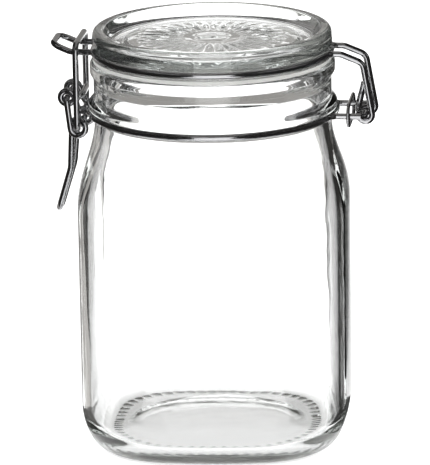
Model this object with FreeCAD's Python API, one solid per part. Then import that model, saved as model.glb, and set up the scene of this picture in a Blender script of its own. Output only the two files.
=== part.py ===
import FreeCAD, Part
import math
import os

# Clip-top glass jar, about one litre: a square body with a round neck, a glass lid on a rubber
# ring, and a sprung wire closure. Millimetres, +Z up. The origin is the middle of the base, on the
# surface that the jar stands on. The body's flat sides face +-X and +-Y.
# The closure is drawn in its own frame, hinge towards +x and latch towards -x, and is then turned
# about the jar's axis by closure_turn.

# --- driving sizes ------------------------------------------------------------------------------
closure_turn = -4.0           # degrees about +Z

# the body
body_width = 108.0            # across the flat sides
body_corner = 32.0            # radius of the body's upright corners
side_spread = 6.0             # half angle that each bowed side covers, degrees
neck_start = 130.0            # height where the shoulder has become the round neck
shoulder_height = 33.0
heel_height = 21.0
heel_inset = 10.5             # how far the base's edge lies inside the sides
heel_corner = 28.0            # radius of the base's corners
base_thickness = 5.0
wall = 3.4                    # glass thickness of the sides
inner_heel_inset = 9.5        # how far the floor's edge lies inside the inner wall
inner_heel_height = 14.0
base_band = 6.5               # width of the flat band that the jar stands on, mid side
base_hollow_depth = 2.4
dome_inset = 4.0              # the floor's rise starts this far inside the hollow's edge
floor_dome_height = 1.6       # the floor rises above the hollow

# the neck
neck_radius = 47.0
neck_height = 23.9            # from the shoulder's end to the top of the rim
neck_wall = 3.8
mouth_lip = 0.4               # the mouth is this much narrower than the neck's bore
rim_stand = 1.5               # the bead at the mouth stands this far out of the neck
rim_band = 6.6                # height of that bead
lower_bead_stand = 2.2
lower_bead_rise = 6.6         # of the lower bead above the shoulder's end

# the rubber ring
gasket_thickness = 1.6
gasket_plug_gap = 0.7         # between the ring and the lid's plug
gasket_set_back = 0.4         # the ring's edge lies this far inside the lid's

# the lid
lid_overhang = 0.6            # of the lid past the neck
lid_thickness = 11.0          # from the rubber ring to the top of the crest
lid_floor_thickness = 5.2     # glass under the sunk middle of the lid
lid_floor_lift = 1.0          # the lid's underside lies this far above the rubber ring
crest_width = 4.7             # from the lid's edge to where the crest's inner slope begins
crest_slope = 3.5             # width of that slope
disc_inset = 5.5              # of the raised disc from the edge of the sunk middle
disc_rise = 0.8
plug_gap = 1.6                # between the mouth and the ring under the lid that centres it
plug_width = 3.0
plug_depth = 1.9              # how far that ring reaches into the mouth

# the wire, and the gaps between wires
wire = 2.5                    # diameter of the closure's wire
seat_gap = 0.05               # between a wire and the groove that it lies in
turn_gap = 0.15               # between a wire and the wire that it turns on
side_gap = 0.25               # between wires that pass each other
ring_bend = 3.5               # bend where a ring turns into its outgoing strands
lid_wire_rise = 2.3           # of the lid wire's ring above the rubber ring
lid_wire_sink = 0.6           # the middle of that ring lies this far inside the lid's edge
neck_wire_rise = 3.6          # of the neck wire's ring above the shoulder's end
neck_wire_stand = 0.7         # of that ring's inner side from the neck

# the nose, which the latch pulls down
nose_foot = 8.0               # from the lid wire's ring to where the nose turns up
nose_length = 15.3            # from the ring to the middle of the nose's end
nose_rise = 3.0
nose_corner = 4.2
nose_play = 1.9               # between the nose and the link on each side

# the hinge
hinge_length = 12.25          # from the neck wire's ring to the hinge's pin
hinge_strand_half = 11.0      # half the distance between the neck wire's hinge strands
hook_play = 0.9               # between a hook and the strand beside it
pin_play = 0.3                # between a hook and the bend beside it
hinge_lean = 1.0              # the bend above the hooks lies this far inside the pin
hinge_shoulder_drop = 3.4
post_inset = 3.8              # from the pin to the foot of the upturned ends
post_lean = 2.6
post_height = 11.0            # of the taller end, above the pin
post_step = 4.0               # the other end is this much shorter
post_gap = 0.3                # between the two ends

# the small ring that ties the hinge strands
ring_wire = 1.5               # diameter
ring_offset = 5.85            # of its plane from the neck wire's ring
ring_half_height = 4.2

# the latch
eye_half = 8.0                # half the distance between the eyes that hold the lever
eye_out = 4.4                 # the eyes' axis lies this far outside the link
eye_rise = 5.5                # and this far above the neck wire's ring
bridge_out = 2.25             # of the bar that joins the eyes, from the neck wire's ring
bridge_rise = 6.7
link_out = 3.65               # of the link from the neck wire's ring
link_lift = 1.15              # the link's bar rests this far above the nose
link_corner = 3.0
coil_play = 0.5               # between the link and the inside of the lever's coils
coil_drop = 0.8               # from the neck wire down to the coils
pivot_end = 1.3               # the lever's ends stand this far out of the eyes
handle_drop = 17.6            # from the coils to where the handle turns outwards
handle_length = 17.5          # from there to its tip
handle_knee_clear = 1.25      # between the jar's widest part and the handle
handle_tip_clear = 6.6
handle_knee_half = 5.4
handle_tip_half = 4.4

# --- places that follow from them ----------------------------------------------------------------
full_width_to = neck_start - shoulder_height
base_ring_radius = body_width / 2 - heel_inset - base_band
mouth_height = neck_start + neck_height
neck_bore = neck_radius - neck_wall
mouth_bore = neck_bore - mouth_lip
rim_radius = neck_radius + rim_stand
lower_bead_radius = neck_radius + lower_bead_stand
lower_bead_height = neck_start + lower_bead_rise

flange = mouth_height + gasket_thickness
lid_radius = neck_radius + lid_overhang
lid_height = flange + lid_thickness
crest_inner = lid_radius - crest_width
floor_radius = crest_inner - crest_slope
disc_radius = floor_radius - disc_inset
plug_radius = mouth_bore - plug_gap
gasket_inner = plug_radius + gasket_plug_gap
gasket_outer = lid_radius - gasket_set_back

lid_wire_height = flange + lid_wire_rise
lid_wire_radius = lid_radius - lid_wire_sink
neck_wire_height = neck_start + neck_wire_rise
neck_wire_radius = neck_radius + neck_wire_stand + wire / 2

hinge_reach = neck_wire_radius + hinge_length
hinge_half = hinge_strand_half - wire - hook_play
pin_half = hinge_half - wire - pin_play
post_half = (wire + post_gap) / 2

lever_half = eye_half + wire + turn_gap       # the lever's upper strands stand outside the eyes
link_half = lever_half + wire + side_gap
nose_half = link_half - wire - nose_play
link_reach = neck_wire_radius + link_out
eye_reach = link_reach + eye_out
eye_height = neck_wire_height + eye_rise
bridge_reach = neck_wire_radius + bridge_out
bridge_height = neck_wire_height + bridge_rise
coil_inner = wire / 2 + coil_play
coil_radius = coil_inner + wire / 2
link_pin_height = neck_wire_height - wire - coil_radius - coil_drop
widest = max(body_width / 2, neck_radius) / math.cos(math.radians(closure_turn))
handle_knee = link_pin_height - handle_drop
handle_knee_reach = widest + wire / 2 + handle_knee_clear
handle_tip_height = handle_knee - handle_length
handle_tip_reach = widest + wire / 2 + handle_tip_clear

# --- geometry helpers ---------------------------------------------------------------------------
V = FreeCAD.Vector


def line(a, b):
    return Part.LineSegment(a, b).toShape()


def arc(a, middle, b):
    return Part.Arc(a, middle, b).toShape()


def bent(points, radii):
    """Edges along the points, with every inner corner rounded by a tangent arc of its radius."""
    if not isinstance(radii, (list, tuple)):
        radii = [radii] * (len(points) - 2)
    edges, start = [], points[0]
    for before, corner, after, radius in zip(points, points[1:], points[2:], radii):
        back = (before - corner).normalize()
        on = (after - corner).normalize()
        half = back.getAngle(on) / 2
        inward = (back + on).normalize()
        first = corner + back * (radius / math.tan(half))
        last = corner + on * (radius / math.tan(half))
        middle = corner + inward * (radius / math.sin(half) - radius)
        if (first - start).Length > 1e-6:
            edges.append(line(start, first))
        edges.append(arc(first, middle, last))
        start = last
    edges.append(line(start, points[-1]))
    return edges


def rod(edges, diameter=wire):
    """A round bar along a path of tangent edges."""
    path = Part.Wire(edges)
    first = edges[0]
    tangent = first.tangentAt(first.FirstParameter)
    section = Part.Wire(Part.makeCircle(diameter / 2, first.valueAt(first.FirstParameter), tangent))
    return path.makePipeShell([section], True, False)


def on_circle(centre, radius, degrees, across):
    """A point of a circle in the plane y = across; centre is (x, z)."""
    angle = math.radians(degrees)
    return V(centre[0] + radius * math.cos(angle), across, centre[1] + radius * math.sin(angle))


def circle_arc(centre, radius, start, end, across):
    """An upright arc in the plane y = across, between two angles in degrees."""
    places = [on_circle(centre, radius, start + (end - start) * part, across) for part in (0, 0.5, 1)]
    return arc(*places)


def tangent_angle(point, centre, radius, side):
    """The angle, in degrees, where the line from point (x, z) touches the circle. side: +1 or -1."""
    dx, dz = point[0] - centre[0], point[1] - centre[1]
    return math.degrees(math.atan2(dz, dx) + side * math.acos(radius / math.hypot(dx, dz)))


def ring_exit(radius, half, height, end):
    """Where a ring leaves for an outgoing strand at y = -half, towards +x (end 1) or -x (end -1).

    Returns the point on the ring, the middle of the bend and the start of the strand."""
    across = half + ring_bend
    reach = math.sqrt((radius + ring_bend) ** 2 - across ** 2)
    centre = V(end * reach, -across, height)
    towards_axis = V(-end * reach, across, 0).normalize()
    on_ring = centre + towards_axis * ring_bend
    on_strand = centre + V(0, ring_bend, 0)
    middle = centre + (towards_axis + V(0, 1, 0)).normalize() * ring_bend
    return on_ring, middle, on_strand


def half_ring(radius, hinge_side, latch_side, height):
    """The near half of a ring with its bends: from the hinge strand round to the latch strand."""
    h_ring, h_middle, h_strand = ring_exit(radius, hinge_side, height, 1)
    l_ring, l_middle, l_strand = ring_exit(radius, latch_side, height, -1)
    edges = [
        arc(h_strand, h_middle, h_ring),
        arc(h_ring, V(0, -radius, height), l_ring),
        arc(l_ring, l_middle, l_strand),
    ]
    return edges, h_strand, l_strand


def other_half(shape):
    return shape.mirror(V(0, 0, 0), V(0, 1, 0))


def joined(shapes):
    return shapes[0].multiFuse(shapes[1:]).removeSplitter().Solids[0]


def turned(points):
    """A solid of revolution from a closed outline of (radius, height, rounding) corners."""
    corners = [V(r, 0, z) for r, z, _ in points]
    start = (corners[0] + corners[-1]) * 0.5
    edges, at = [], start
    looped = [start] + corners + [start]
    for before, corner, after, (_, _, rounding) in zip(looped, looped[1:], looped[2:], points):
        back = (before - corner).normalize()
        on = (after - corner).normalize()
        if rounding:
            half = back.getAngle(on) / 2
            first = corner + back * (rounding / math.tan(half))
            last = corner + on * (rounding / math.tan(half))
            middle = corner + (back + on).normalize() * (rounding / math.sin(half) - rounding)
            edges += [line(at, first), arc(first, middle, last)]
            at = last
        else:
            edges.append(line(at, corner))
            at = corner
    edges.append(line(at, start))
    return Part.Face(Part.Wire(edges)).revolve(V(0, 0, 0), V(0, 0, 1), 360)


# --- glass --------------------------------------------------------------------------------------
def bowed_square(half_width, corner, height):
    """A square outline with bowed sides and round corners, as eight tangent arcs.

    corner equal to half_width gives a circle."""
    spread = math.radians(side_spread)
    k = math.cos(spread) - math.sin(spread)
    side_radius = (half_width - corner * k) / (1 - k)
    side_centre = half_width - side_radius
    joint = V(side_centre + side_radius * math.cos(spread), side_radius * math.sin(spread), height)
    corner_centre = joint.x - corner * math.cos(spread)
    diagonal = corner_centre + corner * math.sqrt(0.5)
    edges = []
    for quarter in range(4):
        turn = FreeCAD.Placement(V(0, 0, 0), FreeCAD.Rotation(V(0, 0, 1), 90 * quarter))
        low = turn.multVec(V(joint.x, -joint.y, height))
        side = turn.multVec(V(half_width, 0, height))
        high = turn.multVec(joint)
        middle = turn.multVec(V(diagonal, diagonal, height))
        far = turn.multVec(V(joint.y, joint.x, height))
        edges += [arc(low, side, high), arc(high, middle, far)]
    return Part.Wire(edges)


def body_sections(half_width, corner, bottom, heel_top, inset, bottom_corner, end_radius):
    """Outlines from the base up to the round neck: a quarter-ellipse heel, sides, then a shoulder."""
    outlines = []
    for part in (0.0, 0.06, 0.2, 0.42, 0.68, 1.0):
        inward = 1 - math.sqrt(1 - (1 - part) ** 2)
        height = bottom + (heel_top - bottom) * part
        outlines.append((half_width - inset * inward, corner + (bottom_corner - corner) * inward, height))
    for part in (0.33, 0.67):
        outlines.append((half_width, corner, heel_top + (full_width_to - heel_top) * part))
    steps = 8
    for step in range(steps + 1):
        part = step / steps
        blend = part * part * (3 - 2 * part)
        width = half_width + (end_radius - half_width) * blend
        height = full_width_to + (neck_start - full_width_to) * part
        outlines.append((width, corner + (width - corner) * blend, height))
    return [bowed_square(*outline) for outline in outlines]


def jar():
    half = body_width / 2
    outer = Part.makeLoft(
        body_sections(half, body_corner, 0, heel_height, heel_inset, heel_corner, neck_radius), True
    )
    inner_half = half - wall
    inner = Part.makeLoft(
        body_sections(
            inner_half, body_corner - wall, base_thickness, base_thickness + inner_heel_height,
            inner_heel_inset, body_corner - wall - 2, neck_bore,
        ),
        True,
    )
    rim_bottom = mouth_height - rim_band
    finish = turned([
        (neck_bore - 6, neck_start, 0),
        (neck_radius, neck_start, 0),
        (neck_radius, neck_start + 1.2, 1),
        (lower_bead_radius, neck_wire_height, 1),
        (lower_bead_radius, lower_bead_height + 0.6, 1.2),
        (neck_radius + 0.3, lower_bead_height + 3, 1.5),
        (neck_radius + 0.3, rim_bottom - 0.4, 1),
        (rim_radius, rim_bottom + 1.2, 1),
        (rim_radius, mouth_height, 1.6),
        (neck_bore - 6, mouth_height, 0),
    ])
    bore = turned([
        (0, neck_start, 0),
        (neck_bore, neck_start, 0),
        (neck_bore, mouth_height - 9, 2),
        (mouth_bore, mouth_height - 7, 2),
        (mouth_bore, mouth_height - 1.2, 0.8),
        (mouth_bore + 1.2, mouth_height, 0),
        (mouth_bore + 1.2, mouth_height + 1, 0),
        (0, mouth_height + 1, 0),
    ])
    groove = Part.makeTorus(neck_wire_radius, wire / 2 + seat_gap, V(0, 0, neck_wire_height))
    hollow_sphere = (base_ring_radius ** 2 + base_hollow_depth ** 2) / (2 * base_hollow_depth)
    hollow = Part.makeSphere(hollow_sphere, V(0, 0, base_hollow_depth - hollow_sphere))
    dome_edge = base_ring_radius - dome_inset
    dome_sphere = (dome_edge ** 2 + floor_dome_height ** 2) / (2 * floor_dome_height)
    dome = Part.makeSphere(dome_sphere, V(0, 0, base_thickness + floor_dome_height - dome_sphere))
    glass = outer.fuse(finish).cut(inner.cut(dome)).cut(bore).cut(groove).cut(hollow)
    return glass.removeSplitter().Solids[0]


def lid():
    underside = flange + lid_floor_lift
    floor_top = underside + lid_floor_thickness
    side = [
        (0, underside, 0),
        (plug_radius - plug_width - 1.4, underside, 1.5),
        (plug_radius - plug_width, mouth_height - plug_depth, 0.8),
        (plug_radius, mouth_height - plug_depth, 0.8),
        (plug_radius + 0.3, flange, 0.2),
        (lid_radius, flange, 0.5),
        (lid_radius, lid_wire_height + 1.6, 0.3),
        (lid_radius - 0.5, lid_height, 2.2),
        (crest_inner, lid_height, 1.2),
        (floor_radius, floor_top, 1.2),
        (disc_radius + 0.9, floor_top, 0.3),
        (disc_radius, floor_top + disc_rise, 0.3),
        (0, floor_top + disc_rise, 0),
    ]
    groove = Part.makeTorus(lid_wire_radius, wire / 2 + seat_gap, V(0, 0, lid_wire_height))
    return turned(side).cut(groove).Solids[0]


def gasket():
    return turned([
        (gasket_inner, mouth_height, 0.3),
        (gasket_outer, mouth_height, 0.3),
        (gasket_outer, flange, 0.3),
        (gasket_inner, flange, 0.3),
    ])


# --- wires, drawn with the hinge towards +x -----------------------------------------------------
def lid_wire():
    """One wire: hook, hinge strand, half the ring, nose, and the same again on the other side."""
    hook_radius = wire + turn_gap
    pin = (hinge_reach, neck_wire_height)
    shoulder = (hinge_reach - hinge_lean, lid_wire_height - hinge_shoulder_drop)
    lift = tangent_angle(shoulder, pin, hook_radius, -1)
    ring, hinge_strand, nose_strand = half_ring(
        lid_wire_radius, hinge_half, nose_half, lid_wire_height
    )
    hook = circle_arc(pin, hook_radius, 165, 360 + lift, -hinge_half)
    strand = bent(
        [
            on_circle(pin, hook_radius, lift, -hinge_half),
            V(shoulder[0], -hinge_half, shoulder[1]),
            V(hinge_strand.x + 2.4, -hinge_half, lid_wire_height),
            hinge_strand,
        ],
        [4.0, 4.0],
    )
    nose = bent(
        [
            nose_strand,
            V(-lid_wire_radius - nose_foot, -nose_half, lid_wire_height),
            V(-lid_wire_radius - nose_length, -nose_half, lid_wire_height + nose_rise),
            V(-lid_wire_radius - nose_length, 0, lid_wire_height + nose_rise),
        ],
        [5.0, nose_corner],
    )
    half = rod([hook] + strand + ring + nose)
    return joined([half, other_half(half)])


def neck_wire_half(post_top):
    """Half of the neck wire, from the top of its upturned end to the middle of the latch bridge."""
    eye_radius = wire + turn_gap
    eye = (-eye_reach, eye_height)
    ring, hinge_strand, latch_strand = half_ring(
        neck_wire_radius, hinge_strand_half, eye_half, neck_wire_height
    )
    lean = post_lean * post_top / post_height
    post_foot = hinge_reach - post_inset
    end = bent(
        [
            V(post_foot + lean, -post_half, neck_wire_height + post_top),
            V(post_foot, -post_half, neck_wire_height),
            V(hinge_reach, -pin_half, neck_wire_height),
            V(hinge_reach, -hinge_strand_half, neck_wire_height),
            hinge_strand,
        ],
        [1.6, 1.6, 1.9],
    )
    knee = (latch_strand.x - 1.2, neck_wire_height)
    outgoing = tangent_angle(knee, eye, eye_radius, 1)
    bridge = (-bridge_reach, bridge_height)
    incoming = tangent_angle(bridge, eye, eye_radius, -1)
    rise = bent(
        [latch_strand, V(knee[0], -eye_half, knee[1]), on_circle(eye, eye_radius, outgoing, -eye_half)],
        [2.0],
    )
    wrap = circle_arc(eye, eye_radius, outgoing, incoming - 360, -eye_half)
    back = bent(
        [
            on_circle(eye, eye_radius, incoming, -eye_half),
            V(bridge[0], -eye_half, bridge[1]),
            V(bridge[0], 0, bridge[1]),
        ],
        [2.6],
    )
    return rod(end + ring + rise + [wrap] + back)


def neck_wire():
    return joined([neck_wire_half(post_height - post_step), other_half(neck_wire_half(post_height))])


def tension_ring():
    """A small oval ring that ties the neck wire's two hinge strands together."""
    half_width = hinge_strand_half + (wire + ring_wire) / 2 + seat_gap
    ring_reach = neck_wire_radius + ring_offset
    low, high = neck_wire_height - ring_half_height, neck_wire_height + ring_half_height
    straight = half_width - ring_half_height
    middle = V(ring_reach, 0, neck_wire_height)
    left, right = middle - V(0, half_width, 0), middle + V(0, half_width, 0)
    a, b = V(ring_reach, -straight, high), V(ring_reach, straight, high)
    c, d = V(ring_reach, straight, low), V(ring_reach, -straight, low)
    return rod([line(a, b), arc(b, right, c), line(c, d), arc(d, left, a)], ring_wire)


def link():
    """A closed wire loop: its lower bar turns in the lever's coils, its upper bar holds the nose."""
    low = link_pin_height
    high = lid_wire_height + wire + link_lift
    corners = [
        V(-link_reach, 0, low), V(-link_reach, -link_half, low), V(-link_reach, -link_half, high),
        V(-link_reach, link_half, high), V(-link_reach, link_half, low), V(-link_reach, 0, low),
    ]
    return rod(bent(corners, link_corner))


def lever():
    """A sprung lever: ends turned into the eyes, one coil a side round the link, and a handle."""
    outer = lever_half
    inner = outer - wire - turn_gap
    eye = (-eye_reach, eye_height)
    coil = (-link_reach, link_pin_height)
    touch = tangent_angle(eye, coil, coil_radius, 1)
    end = bent(
        [
            V(eye[0], -(eye_half - wire / 2 - pivot_end), eye[1]),
            V(eye[0], -outer, eye[1]),
            on_circle(coil, coil_radius, touch, -outer),
        ],
        [1.7],
    )
    first_turn = circle_arc(coil, coil_radius, touch, 360, -outer)
    start = on_circle(coil, coil_radius, 0, -outer)
    finish = on_circle(coil, coil_radius, 180, -inner)
    across = (finish - start).Length / 2
    second_turn = arc(start, (start + finish) * 0.5 + V(0, 0, across), finish)
    handle = bent(
        [
            finish,
            finish - V(0, 0, 3),
            V(-handle_knee_reach, -handle_knee_half, handle_knee),
            V(-handle_tip_reach, -handle_tip_half, handle_tip_height),
            V(-handle_tip_reach, 0, handle_tip_height),
        ],
        [8.0, 12.0, handle_tip_half - 0.4],
    )
    half = rod(end + [first_turn, second_turn] + handle)
    return joined([half, other_half(half)])


# --- writing ------------------------------------------------------------------------------------
def in_place(shape):
    shape.rotate(V(0, 0, 0), V(0, 0, 1), closure_turn)
    return shape


nodes = {
    "jar": jar(),
    "lid": lid(),
    "gasket": gasket(),
    "lid_wire": in_place(lid_wire()),
    "neck_wire": in_place(neck_wire()),
    "tension_ring": in_place(tension_ring()),
    "lever": in_place(lever()),
    "link": in_place(link()),
}
os.makedirs("parts", exist_ok=True)
for name, shape in nodes.items():
    shape.exportStep("parts/" + name + ".step")
    print(name, shape.ShapeType, "valid", shape.isValid(), "volume", round(shape.Volume, 1))
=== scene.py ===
import math

import bpy
import numpy as np
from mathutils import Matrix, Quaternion, Vector


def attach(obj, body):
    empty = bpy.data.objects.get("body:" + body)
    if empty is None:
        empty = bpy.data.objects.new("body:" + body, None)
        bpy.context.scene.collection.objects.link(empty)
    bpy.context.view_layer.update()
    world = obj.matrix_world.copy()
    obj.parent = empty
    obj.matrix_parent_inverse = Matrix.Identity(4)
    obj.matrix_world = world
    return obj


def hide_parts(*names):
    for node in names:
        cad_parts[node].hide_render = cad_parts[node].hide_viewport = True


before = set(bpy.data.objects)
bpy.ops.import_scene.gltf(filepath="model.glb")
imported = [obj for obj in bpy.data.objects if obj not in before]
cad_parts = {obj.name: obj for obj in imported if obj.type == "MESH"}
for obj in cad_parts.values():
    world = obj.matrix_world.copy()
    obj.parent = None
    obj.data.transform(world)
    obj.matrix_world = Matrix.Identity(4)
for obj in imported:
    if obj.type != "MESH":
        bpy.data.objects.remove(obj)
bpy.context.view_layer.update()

MM = 0.001
scene = bpy.context.scene

# --- sizes of the glass and the rubber, in millimetres ------------------------------------------
COLUMNS = 360                 # grid columns round the jar, the lid and the ring
SPREAD = math.radians(6.0)    # half angle that each bowed side of the body covers

BODY_HALF, BODY_CORNER = 54.0, 32.0
HEEL_TOP, SHOULDER_START, NECK_START = 21.0, 97.0, 130.0
HEEL_INSET, HEEL_CORNER = 10.5, 28.0
NECK_RADIUS, NECK_BORE, MOUTH_BORE = 47.0, 43.2, 42.8
MOUTH_HEIGHT, RIM_RADIUS, RIM_BAND = 153.9, 48.5, 6.6
LOWER_BEAD, LOWER_BEAD_HEIGHT = 49.2, 136.6
RING_GROOVE_HEIGHT, RING_GROOVE_RADIUS, GROOVE = 133.6, 48.95, 1.3
WALL, FLOOR, INNER_HEEL, INNER_INSET = 3.4, 5.0, 14.0, 9.5
PUNT_RADIUS, PUNT_DEPTH, DOME = 37.0, 2.4, 1.6

GASKET_TOP, GASKET_INNER, GASKET_OUTER = 155.5, 41.9, 47.2
GAP = 0.04                    # air between glass and rubber, so that no two faces coincide
TINY = 1e-6                   # keeps a length that is divided by off zero
POLE = 1e-4                   # half width of a row that is a single point on the axis

LID_RADIUS, LID_TOP = 47.6, 166.5
LID_WIRE_HEIGHT, LID_WIRE_RADIUS = 157.8, 47.0
LID_FLOOR = 161.7
CREST_INNER, SUNK_RADIUS, DISC_RADIUS, DISC_RISE = 42.9, 39.4, 33.9, 0.8
PLUG_RADIUS, PLUG_WIDTH, PLUG_DEPTH = 41.2, 3.0, 1.9
FLUTES, FLUTE_INNER, FLUTE_OUTER, FLUTE_DEPTH = 32, 11.0, 31.0, 0.45
BOSS_RADIUS, BOSS_RISE = 9.0, 0.5

MARKS, MARK_INNER, MARK_OUTER, MARK_DEPTH = 60, 38.6, 43.2, 0.5
NEAR = 0.01                   # a point this near to a flat face counts as on it


# --- outlines: rows of (half width, corner radius, height), one for each ring of the grid ---------
def bowed_square(half_width, corner, angle):
    """Distance from the axis to the edge of a square with bowed sides and round corners.

    The angle is folded into an eighth of the turn. Up to the joint the edge is the side's arc,
    whose centre is on the x axis; past it, the corner's arc, whose centre is on the diagonal.
    A ray from the axis meets an arc of centre C and radius R at C.d + sqrt((C.d)^2 - C^2 + R^2)."""
    k = math.cos(SPREAD) - math.sin(SPREAD)
    side = (half_width - corner * k) / (1 - k)
    side_centre = half_width - side
    corner_centre = (side - corner) * math.sin(SPREAD)
    joint = np.arctan2(side * math.sin(SPREAD), side_centre + side * math.cos(SPREAD))
    quarter = math.pi / 2
    folded = np.abs((angle + quarter / 2) % quarter - quarter / 2)
    off_side = side_centre * np.sin(folded)
    on_side = side_centre * np.cos(folded) + np.sqrt(side ** 2 - off_side ** 2)
    along = corner_centre * (np.cos(folded) + np.sin(folded))
    on_corner = along + np.sqrt(np.maximum(along ** 2 - 2 * corner_centre ** 2 + corner ** 2, 0))
    return np.where(folded < joint, on_side, on_corner)


def rounded(corners, steps=5):
    """Points of an open outline of (radius, height, rounding) corners.

    At a corner with a rounding r, the two straights end r / tan(half angle) before it, and the
    points between go along the tangent arc of radius r. The first and last corners stay sharp."""
    places = np.array([c[:2] for c in corners], float)
    points = [places[:1]]
    for before, corner, after, (_, _, radius) in zip(places, places[1:], places[2:], corners[1:-1]):
        if not radius:
            points.append(corner[None])
            continue
        back = (before - corner) / np.linalg.norm(before - corner)
        on = (after - corner) / np.linalg.norm(after - corner)
        half = math.acos(np.clip(back @ on, -1, 1)) / 2
        centre = corner + (back + on) / np.linalg.norm(back + on) * (radius / math.sin(half))
        first = corner + back * (radius / math.tan(half)) - centre
        last = corner + on * (radius / math.tan(half)) - centre
        turn = math.pi - 2 * half
        part = np.linspace(0, 1, steps + 1)[:, None]
        arc = first * np.sin((1 - part) * turn) + last * np.sin(part * turn)
        points.append(centre + arc / math.sin(turn))
    points.append(places[-1:])
    return np.vstack(points)


def round_rows(outline):
    """Rows of the grid for a round outline: the corner radius is the half width."""
    return np.column_stack([outline[:, 0], outline[:, 0], outline[:, 1]])


def heel_rows(half, corner, bottom, top, inset, bottom_corner, steps):
    """A quarter ellipse from the base's edge out to the full width: in by 1 - sin(angle)."""
    angle = np.linspace(0, math.pi / 2, steps)
    inward = 1 - np.sin(angle)
    return np.column_stack([
        half - inset * inward,
        corner + (bottom_corner - corner) * inward,
        bottom + (top - bottom) * (1 - np.cos(angle)),
    ])


def shoulder_rows(half, corner, end_radius, steps):
    """From the full width to the round neck: both width and corner ease by 3 p^2 - 2 p^3."""
    part = np.linspace(0, 1, steps)
    blend = part * part * (3 - 2 * part)
    width = half + (end_radius - half) * blend
    height = SHOULDER_START + (NECK_START - SHOULDER_START) * part
    return np.column_stack([width, corner + (width - corner) * blend, height])


def cap_rows(radius, height, rise, steps):
    """A shallow dome from its middle to its edge: height falls as the square of the radius."""
    reach = np.linspace(0, 1, steps) * radius
    return np.column_stack([reach, reach, height + rise * (1 - (reach / radius) ** 2)])


def straight_rows(first, last, steps):
    """Evenly spaced rows between two rows, both left out."""
    part = np.linspace(0, 1, steps + 2)[1:-1, None]
    return np.asarray(first) * (1 - part) + np.asarray(last) * part


def groove_bite(outline, radius, height, depth):
    """An outline with the round groove that a wire lies in.

    A point nearer to the groove's centre than its depth moves straight away from the centre, until
    it is at that depth."""
    centre = np.array([radius, height])
    away = outline - centre
    distance = np.linalg.norm(away, axis=1, keepdims=True)
    pushed = centre + away / np.maximum(distance, TINY) * depth
    return np.where(distance < depth, pushed, outline)


def dense(outline, spacing):
    """The same outline with points no further apart than the spacing."""
    points = [outline[:1]]
    for a, b in zip(outline, outline[1:]):
        count = max(1, math.ceil(np.linalg.norm(b - a) / spacing))
        points.append(a + (b - a) * (np.arange(1, count + 1) / count)[:, None])
    return np.vstack(points)


# --- meshes -------------------------------------------------------------------------------------
def placed(name, data):
    """A new object in the scene that holds the data."""
    item = bpy.data.objects.new(name, data)
    scene.collection.objects.link(item)
    return item


def grid_mesh(name, points, closed_rows=False):
    """A mesh from a grid of points in mm, rows along the outline and columns round the axis.

    Columns always close on themselves. Rows close too on a ring; otherwise the first and the last
    row are the poles, and each is one vertex in a fan of triangles."""
    rows, columns, _ = points.shape
    index = np.arange(rows * columns).reshape(rows, columns)
    if not closed_rows:
        index[0, :] = index[0, 0]
        index[-1, :] = index[-1, 0]
    upper = np.roll(index, -1, axis=0) if closed_rows else index[1:]
    lower = index if closed_rows else index[:-1]
    ahead_lower, ahead_upper = np.roll(lower, -1, axis=1), np.roll(upper, -1, axis=1)
    quads = np.stack([lower, ahead_lower, ahead_upper, upper], axis=-1).reshape(-1, 4)
    first_fan = quads[:, 0] == quads[:, 1]
    last_fan = quads[:, 2] == quads[:, 3]
    used, renumber = np.unique(index), np.zeros(rows * columns, int)
    renumber[used] = np.arange(len(used))
    faces = renumber[quads[~first_fan & ~last_fan]].tolist()
    faces += renumber[quads[first_fan][:, [0, 2, 3]]].tolist()
    faces += renumber[quads[last_fan][:, [0, 1, 2]]].tolist()
    mesh = bpy.data.meshes.new(name)
    mesh.from_pydata((points.reshape(-1, 3)[used] * MM).tolist(), [], faces)
    mesh.update()
    mesh.shade_smooth()
    return placed(name, mesh)


def carried_round(rows, angle):
    """Points of a grid: each row's bowed square at each angle, at the row's height."""
    half_width, corner = np.maximum(rows[:, :1], POLE), np.maximum(rows[:, 1:2], POLE)
    distance = bowed_square(half_width, corner, angle[None])
    height = np.broadcast_to(rows[:, 2:3], distance.shape)
    return np.stack([distance * np.cos(angle), distance * np.sin(angle), height], axis=-1)


# --- the jar --------------------------------------------------------------------------------------
def standing_ring_share(x, y):
    """Half width of the base's outline that passes through a point."""
    half = BODY_HALF - HEEL_INSET
    return np.hypot(x, y) / bowed_square(half, HEEL_CORNER, np.arctan2(y, x)) * half


def with_base_marks(points):
    """The jar with short marks pressed across the band that it stands on.

    In the band the underside rises by depth * (1/2 + 1/2 cos(marks * angle)) * sin(pi * part),
    where part runs from 0 to 1 from the band's inner to its outer half width."""
    x, y, z = points[..., 0], points[..., 1], points[..., 2]
    part = np.clip((standing_ring_share(x, y) - MARK_INNER) / (MARK_OUTER - MARK_INNER), 0, 1)
    marks = 0.5 + 0.5 * np.cos(MARKS * np.arctan2(y, x))
    marked = points.copy()
    marked[..., 2] += np.where(z < NEAR, MARK_DEPTH * marks * np.sin(math.pi * part), 0)
    return marked


def record_marks(piece):
    """An attribute with each vertex's height in the marked band, as a share of their depth. The
    glass uses it to paint shade into the marks.
    """
    place = np.empty(len(piece.data.vertices) * 3)
    piece.data.vertices.foreach_get("co", place)
    x, y, z = place.reshape(-1, 3).T / MM
    share = standing_ring_share(x, y)
    in_band = (share > MARK_INNER) & (share < MARK_OUTER) & (z < MARK_DEPTH + NEAR)
    layer = piece.data.attributes.new("painted_mark_shade", "FLOAT", "POINT")
    layer.data.foreach_set("value", np.where(in_band, z / MARK_DEPTH, 0))


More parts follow.
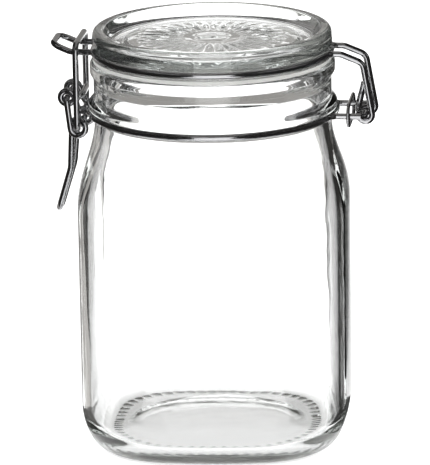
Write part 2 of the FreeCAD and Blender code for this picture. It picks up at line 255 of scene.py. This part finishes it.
def jar_rows():
    """The jar's whole outline: under the base, up the outside, over the lip, down to the floor."""
    rim_bottom = MOUTH_HEIGHT - RIM_BAND
    punt = cap_rows(PUNT_RADIUS, 0.0, PUNT_DEPTH, 16)
    edge = (BODY_HALF - HEEL_INSET, HEEL_CORNER, 0.0)
    band = straight_rows(punt[-1], edge, 12)
    heel = heel_rows(BODY_HALF, BODY_CORNER, 0.0, HEEL_TOP, HEEL_INSET, HEEL_CORNER, 20)
    side = straight_rows(heel[-1], (BODY_HALF, BODY_CORNER, SHOULDER_START), 22)
    shoulder = shoulder_rows(BODY_HALF, BODY_CORNER, NECK_RADIUS, 22)
    finish = rounded([
        (NECK_RADIUS, NECK_START, 0),
        (NECK_RADIUS, NECK_START + 1.2, 1),
        (LOWER_BEAD, RING_GROOVE_HEIGHT, 1),
        (LOWER_BEAD, LOWER_BEAD_HEIGHT + 0.6, 1.2),
        (NECK_RADIUS + 0.1, LOWER_BEAD_HEIGHT + 3, 1.5),
        (NECK_RADIUS + 0.1, rim_bottom - 0.3, 0.8),
        (RIM_RADIUS, rim_bottom + 2.3, 1),
        (RIM_RADIUS, MOUTH_HEIGHT - GAP, 1.6),
        (MOUTH_BORE + 1.2, MOUTH_HEIGHT - GAP, 0.6),
        (MOUTH_BORE, MOUTH_HEIGHT - 1.2, 0.8),
        (MOUTH_BORE - 0.4, MOUTH_HEIGHT - 7, 1),
        (NECK_BORE + 0.2, MOUTH_HEIGHT - 10, 1),
        (NECK_BORE, NECK_START, 0),
    ])
    finish = groove_bite(dense(finish, 1.0), RING_GROOVE_RADIUS, RING_GROOVE_HEIGHT, GROOVE)
    inner_half, inner_corner = BODY_HALF - WALL, BODY_CORNER - WALL
    inner_shoulder = shoulder_rows(inner_half, inner_corner, NECK_BORE, 22)[::-1]
    inner_heel = heel_rows(
        inner_half, inner_corner, FLOOR, FLOOR + INNER_HEEL, INNER_INSET, inner_corner - 2, 18
    )[::-1]
    inner_side = straight_rows(inner_shoulder[-1], inner_heel[0], 24)
    dome = cap_rows(PUNT_RADIUS - 4, FLOOR, DOME, 12)[::-1]
    floor = straight_rows(inner_heel[-1], dome[0], 4)
    return np.vstack([
        punt, band, heel, side, shoulder[:-1], round_rows(finish), inner_shoulder[1:], inner_side,
        inner_heel, floor, dome,
    ])


angles = np.arange(COLUMNS) / COLUMNS * 2 * math.pi
jar_glass = grid_mesh("jar_glass", with_base_marks(carried_round(jar_rows(), angles)))
record_marks(jar_glass)
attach(jar_glass, "body")
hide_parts("jar")


# --- the lid --------------------------------------------------------------------------------------
def lid_outline():
    """The lid's outline: from the middle of its underside, round the rim, to its top's middle."""
    flange = GASKET_TOP + GAP
    underside = LID_FLOOR - 5.2
    outline = rounded([
        (0, underside, 0),
        (PLUG_RADIUS - PLUG_WIDTH - 1.4, underside, 1.5),
        (PLUG_RADIUS - PLUG_WIDTH, MOUTH_HEIGHT - PLUG_DEPTH, 0.8),
        (PLUG_RADIUS, MOUTH_HEIGHT - PLUG_DEPTH, 0.8),
        (PLUG_RADIUS + 0.3, flange, 0.2),
        (LID_RADIUS, flange, 0.5),
        (LID_RADIUS, LID_WIRE_HEIGHT + 1.6, 0.3),
        (LID_RADIUS - 0.5, LID_TOP, 2.2),
        (CREST_INNER, LID_TOP, 1.2),
        (SUNK_RADIUS, LID_FLOOR, 1.2),
        (DISC_RADIUS + 0.9, LID_FLOOR, 0.3),
        (DISC_RADIUS, LID_FLOOR + DISC_RISE, 0.3),
        (0, LID_FLOOR + DISC_RISE, 0),
    ])
    return groove_bite(dense(outline, 1.0), LID_WIRE_RADIUS, LID_WIRE_HEIGHT, GROOVE)


def with_relief(points, angle):
    """The lid with a plain fluted pattern pressed into its disc.

    Between two radii the disc rises by depth * cos^2(flutes / 2 * angle) * sin^2(pi * part), where
    part runs from 0 to 1 across that band. A boss in the middle rises by a cosine hill."""
    radius = np.hypot(points[..., 0], points[..., 1])
    on_disc = (points[..., 2] > LID_FLOOR + DISC_RISE - NEAR) & (radius < DISC_RADIUS)
    part = np.clip((radius - FLUTE_INNER) / (FLUTE_OUTER - FLUTE_INNER), 0, 1)
    flutes = np.cos(FLUTES / 2 * angle) ** 2 * np.sin(math.pi * part) ** 2
    hill = 0.5 + 0.5 * np.cos(math.pi * np.clip(radius / BOSS_RADIUS, 0, 1))
    raised = points.copy()
    raised[..., 2] += np.where(on_disc, FLUTE_DEPTH * flutes + BOSS_RISE * hill, 0)
    return raised


lid_points = carried_round(round_rows(lid_outline()), angles)
lid_glass = grid_mesh("lid_glass", with_relief(lid_points, angles))
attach(lid_glass, "lid")
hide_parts("lid")


# --- the rubber ring ------------------------------------------------------------------------------
def gasket_outline():
    """A flat ring's section, once round from the middle of its lower face."""
    corners = [
        (GASKET_INNER, MOUTH_HEIGHT, 0.3), (GASKET_OUTER, MOUTH_HEIGHT, 0.3),
        (GASKET_OUTER, GASKET_TOP, 0.3), (GASKET_INNER, GASKET_TOP, 0.3),
    ]
    middle = ((GASKET_INNER + GASKET_OUTER) / 2, MOUTH_HEIGHT, 0)
    return dense(rounded([middle] + corners[1:] + corners[:1] + [middle]), 0.6)[:-1]


rubber_ring = grid_mesh("rubber_ring", carried_round(round_rows(gasket_outline()), angles), True)
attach(rubber_ring, "lid")
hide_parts("gasket")


# --- finishes -------------------------------------------------------------------------------------
class Value:
    """A number that varies over a surface; arithmetic on it adds Math nodes."""

    def __init__(self, finish, socket):
        self.finish, self.socket = finish, socket

    def math(self, operation, other):
        return self.finish.node("ShaderNodeMath", {"operation": operation}, {0: self, 1: other})

    def __add__(self, other):
        return self.math("ADD", other)

    def __mul__(self, other):
        return self.math("MULTIPLY", other)

    __radd__, __rmul__ = __add__, __mul__


class Finish:
    """A material, built node by node."""

    def __init__(self, name):
        self.material = bpy.data.materials.new(name)
        self.material.use_nodes = True
        self.tree = self.material.node_tree
        self.tree.nodes.clear()
        self.output = self.tree.nodes.new("ShaderNodeOutputMaterial")

    def node(self, kind, settings=None, sockets=None, out=0):
        """A node of a type, with its settings and then its sockets' values or links; one output."""
        node = self.tree.nodes.new(kind)
        for key, value in (settings or {}).items():
            setattr(node, key, value)
        for key, value in (sockets or {}).items():
            if isinstance(value, Value):
                self.tree.links.new(value.socket, node.inputs[key])
            else:
                node.inputs[key].default_value = value
        return Value(self, node.outputs[out])

    def surface(self, shader):
        self.tree.links.new(shader.socket, self.output.inputs["Surface"])

    def volume(self, shader):
        self.tree.links.new(shader.socket, self.output.inputs["Volume"])

    def principled(self, sockets):
        return self.node("ShaderNodeBsdfPrincipled", sockets=sockets)

    def noise(self, scale, detail):
        """Fine noise in the piece's own place, 0 to 1."""
        place = self.node("ShaderNodeTexCoord", out="Object")
        return self.node("ShaderNodeTexNoise", sockets={
            "Vector": place, "Scale": scale, "Detail": detail,
        })

    def relief(self, strength, distance, height):
        """A surface direction that follows small heights."""
        return self.node("ShaderNodeBump", sockets={
            "Strength": strength, "Distance": distance, "Height": height,
        })

    def mixed(self, factor, first, second):
        """A colour between two colours."""
        return self.node("ShaderNodeMix", {"data_type": "RGBA"}, {
            0: factor, 6: first, 7: second,
        }, out=2)


def glass_finish(name, marks=False):
    """Clear soda-lime glass with faint waves, which tints only along a long way through it.

    Where it is seen edge on, a near-black opaque surface is mixed in: painted shade, standing in
    for dark surroundings seen in the glass. On the jar, the marks under the base are painted darker
    too: painted shade in their notches."""
    finish = Finish(name)
    colour = (1, 1, 1, 1)
    # The marks under the base are painted dark grey by their height: painted shade in their
    # notches.
    if marks:
        painted_mark_shade = finish.node("ShaderNodeAttribute", {"attribute_name": "painted_mark_shade"}, out="Fac")
        colour = finish.mixed(painted_mark_shade, (1, 1, 1, 1), (0.16, 0.17, 0.17, 1))
    clear = finish.principled({
        "Base Color": colour, "Roughness": 0.0, "IOR": 1.52, "Transmission Weight": 1.0,
        "Normal": finish.relief(0.10, 0.0012, finish.noise(45.0, 2.0)),
    })
    # A near-black opaque surface, mixed in where the glass is seen edge on: painted shade for dark
    # surroundings.
    edge = finish.principled({"Base Color": (0.05, 0.05, 0.05, 1), "Roughness": 0.2})
    facing = finish.node("ShaderNodeLayerWeight", sockets={"Blend": 0.5}, out="Facing")
    painted_edge_shade = finish.node("ShaderNodeMapRange", {"interpolation_type": "SMOOTHSTEP"}, {
        "Value": facing, "From Min": 0.77, "From Max": 0.90, "To Max": 0.9,
    })
    finish.surface(finish.node("ShaderNodeMixShader", sockets={"Fac": painted_edge_shade, 1: clear, 2: edge}))
    finish.volume(finish.node("ShaderNodeVolumeAbsorption", sockets={
        "Color": (0.62, 0.80, 0.71, 1), "Density": 3.5,
    }))
    return finish.material


def wire_finish():
    """Bright plated wire: metal with faint drawing marks."""
    finish = Finish("plated_wire")
    marks = finish.noise(900.0, 3.0)
    finish.surface(finish.principled({
        "Base Color": (0.40, 0.40, 0.41, 1), "Metallic": 1.0, "Roughness": marks * 0.1 + 0.08,
        "Normal": finish.relief(0.12, 0.0002, marks),
    }))
    return finish.material


def rubber_finish():
    """Pale translucent rubber."""
    finish = Finish("pale_rubber")
    grain = finish.noise(500.0, 3.0)
    finish.surface(finish.principled({
        "Base Color": (0.86, 0.86, 0.84, 1), "Roughness": grain * 0.2 + 0.3, "IOR": 1.42,
        "Transmission Weight": 0.7, "Normal": finish.relief(0.2, 0.0002, grain),
    }))
    return finish.material


def dress(piece, material):
    """Gives a piece its only material."""
    piece.data.materials.clear()
    piece.data.materials.append(material)


dress(jar_glass, glass_finish("jar_glass_painted_shade", marks=True))
dress(lid_glass, glass_finish("lid_glass_painted_edge_shade"))
dress(rubber_ring, rubber_finish())
wire_material = wire_finish()
for node in ("lid_wire", "neck_wire", "tension_ring", "lever", "link"):
    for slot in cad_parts[node].material_slots:
        slot.material = wire_material


# --- camera and floor -----------------------------------------------------------------------------
AZIMUTH, ELEVATION, DISTANCE = math.radians(3.0), math.radians(15.2), 2.0
ROLL = math.radians(-0.9)
FRAME_HEIGHT = 0.1853         # metres that the view takes in at the target
SENSOR = 36.0                 # in millimetres
TARGET = Vector((0.0, 0.0, 0.0825))
back = Vector((
    math.sin(AZIMUTH) * math.cos(ELEVATION),
    -math.cos(AZIMUTH) * math.cos(ELEVATION),
    math.sin(ELEVATION),
))
camera = placed("camera", bpy.data.cameras.new("camera"))
camera.data.sensor_width = SENSOR
camera.data.lens = SENSOR * DISTANCE / FRAME_HEIGHT
camera.location = TARGET + back * DISTANCE
camera.rotation_mode = "QUATERNION"
camera.rotation_quaternion = (-back).to_track_quat("-Z", "Y") @ Quaternion((0, 0, 1), ROLL)
camera.data.clip_start, camera.data.clip_end = 0.05, 100.0
scene.camera = camera


def matt_finish(name, colour, glow):
    """A matt surface of one colour that also glows a little."""
    finish = Finish(name)
    finish.surface(finish.principled({
        "Base Color": colour, "Roughness": 0.9, "Specular IOR Level": 0.0,
        "Emission Color": colour, "Emission Strength": glow,
    }))
    return finish.material


def sheet(name, corners, material):
    """One flat panel from its four corners."""
    mesh = bpy.data.meshes.new(name)
    mesh.from_pydata(corners, [], [(0, 1, 2, 3)])
    panel = placed(name, mesh)
    panel.data.materials.append(material)
    return panel


FLOOR_REACH = 12.0
FLOOR_DROP = -0.00015         # so that the jar's standing ring and the floor don't coincide
sheet("floor", [
    (x * FLOOR_REACH, y * FLOOR_REACH, FLOOR_DROP) for x, y in ((-1, -1), (1, -1), (1, 1), (-1, 1))
], matt_finish("pale_floor", (0.9, 0.9, 0.9, 1), 0.35))


# --- cards and lights -----------------------------------------------------------------------------
# Cards beside, before and above the jar, in the camera's own frame: only glass and metal see them,
# as they stand. The side cards open out away from the camera, so that a ray must be bent by more
# than their slant to meet them. The second pair stands where the jar is for a camera further off.
# Places are in the camera's own axes, in metres: depths run from 0 at the camera to -2 at the jar.
CARD_NEAR, CARD_SLANT = 0.070, math.radians(8.0)
CARD_FAR_NEAR, CARD_FAR_START, CARD_FAR_BEND = 0.090, -2.5, -2.8
CARD_FRONT, CARD_FAR, CARD_LOW, CARD_FRONT_LOW = -1.75, -3.5, -0.5, 0.10
CARD_TOP, CARD_TOP_WIDE = 0.22, 0.30
CARD_LOW_NEAR, CARD_LOW_FIRST, CARD_LOW_LAST = 0.0575, -1.93, -2.10
CARD_LOW_LEFT_TOP, CARD_LOW_RIGHT_TOP = -0.070, -0.066
CARD_GREY_REACH = 0.3         # a side card changes its tone this far behind the jar


def card_finish(name, brightness):
    """A card of even brightness, which is clear to light that has already left the floor."""
    finish = Finish(name)
    path = finish.node("ShaderNodeLightPath", out="Diffuse Depth")
    bounced = finish.node("ShaderNodeMath", {"operation": "GREATER_THAN"}, {0: path, 1: 0.5})
    finish.surface(finish.node("ShaderNodeMixShader", sockets={
        "Fac": bounced,
        1: finish.node("ShaderNodeEmission", sockets={
            "Color": (1.0, 0.97, 0.93, 1), "Strength": brightness,
        }),
        2: finish.node("ShaderNodeBsdfTransparent"),
    }))
    return finish.material


def travelling_card(name, corners, material):
    """A card fixed to the camera, hidden from the camera itself and from the floor's light."""
    card = sheet(name, corners, material)
    card.parent = camera
    card.visible_camera = card.visible_diffuse = card.visible_shadow = False


dark_card = card_finish("dark_card", 0.03)
grey_card = card_finish("grey_card", 0.55)
dusk_card = card_finish("dusk_card", 0.12)
pale_card = card_finish("pale_card", 0.35)


def upright_card(name, first, last, low, top, material):
    """A card that stands between two places (across, depth), from a low to a top height."""
    travelling_card(name, [
        (first[0], low, first[1]), (last[0], low, last[1]),
        (last[0], top, last[1]), (first[0], top, first[1]),
    ], material)


def side_card(name, side, near, bend, first, last, finish):
    """One stretch of a side card, which is straight up to the depth bend and then opens out."""
    places = [
        (side * (near + max(bend - depth, 0) * math.tan(CARD_SLANT)), depth)
        for depth in (first, last)
    ]
    upright_card(name, *places, CARD_LOW, CARD_TOP, finish)


for name, side, near_finish, far_finish in (
    ("left", -1, grey_card, dark_card), ("right", 1, dark_card, grey_card),
):
    side_card("card_beside_" + name, side, CARD_NEAR, -DISTANCE, CARD_FRONT, -DISTANCE, dark_card)
    for place, near, bend, end in (
        ("", CARD_NEAR, -DISTANCE, CARD_FAR_START),
        ("far_", CARD_FAR_NEAR, CARD_FAR_BEND, CARD_FAR),
    ):
        split = bend - CARD_GREY_REACH
        side_card("card_" + place + "near_" + name, side, near, bend, bend, split, near_finish)
        side_card("card_" + place + "back_" + name, side, near, bend, split, end, far_finish)
for name, across, top, finish in (
    ("card_low_left", -CARD_LOW_NEAR, CARD_LOW_LEFT_TOP, dusk_card),
    ("card_low_right", CARD_LOW_NEAR, CARD_LOW_RIGHT_TOP, dark_card),
):
    upright_card(name, (across, CARD_LOW_FIRST), (across, CARD_LOW_LAST), CARD_LOW, top, finish)
upright_card(
    "card_front", (-CARD_NEAR, CARD_FRONT), (CARD_NEAR, CARD_FRONT),
    CARD_FRONT_LOW, CARD_TOP, dark_card,
)
travelling_card("card_top", [
    (-CARD_TOP_WIDE, CARD_TOP, CARD_FRONT), (CARD_TOP_WIDE, CARD_TOP, CARD_FRONT),
    (CARD_TOP_WIDE, CARD_TOP, CARD_FAR), (-CARD_TOP_WIDE, CARD_TOP, CARD_FAR),
], pale_card)


def softbox(name, place, width, height, power):
    """A soft rectangular light that travels with the camera and faces the jar."""
    light = bpy.data.lights.new(name, "AREA")
    light.shape, light.size, light.size_y, light.energy = "RECTANGLE", width, height, power
    lamp = placed(name, light)
    lamp.parent = camera
    lamp.location = place
    lamp.rotation_mode = "QUATERNION"
    towards_jar = Vector((0, 0, -DISTANCE)) - lamp.location
    lamp.rotation_quaternion = towards_jar.to_track_quat("-Z", "Y")


softbox("softbox_left", (-0.75, 0.55, -1.2), 0.5, 0.9, 6.0)
softbox("softbox_right", (0.8, 0.4, -1.6), 0.3, 0.9, 4.0)

world = bpy.data.worlds.new("studio")
scene.world = world
world.use_nodes = True
background = world.node_tree.nodes["Background"]
background.inputs["Color"].default_value = (1, 1, 1, 1)
background.inputs["Strength"].default_value = 1.4

scene.view_settings.view_transform = "Standard"
scene.cycles.max_bounces = 32
scene.cycles.transmission_bounces = 32
scene.cycles.glossy_bounces = 16
scene.cycles.transparent_max_bounces = 16
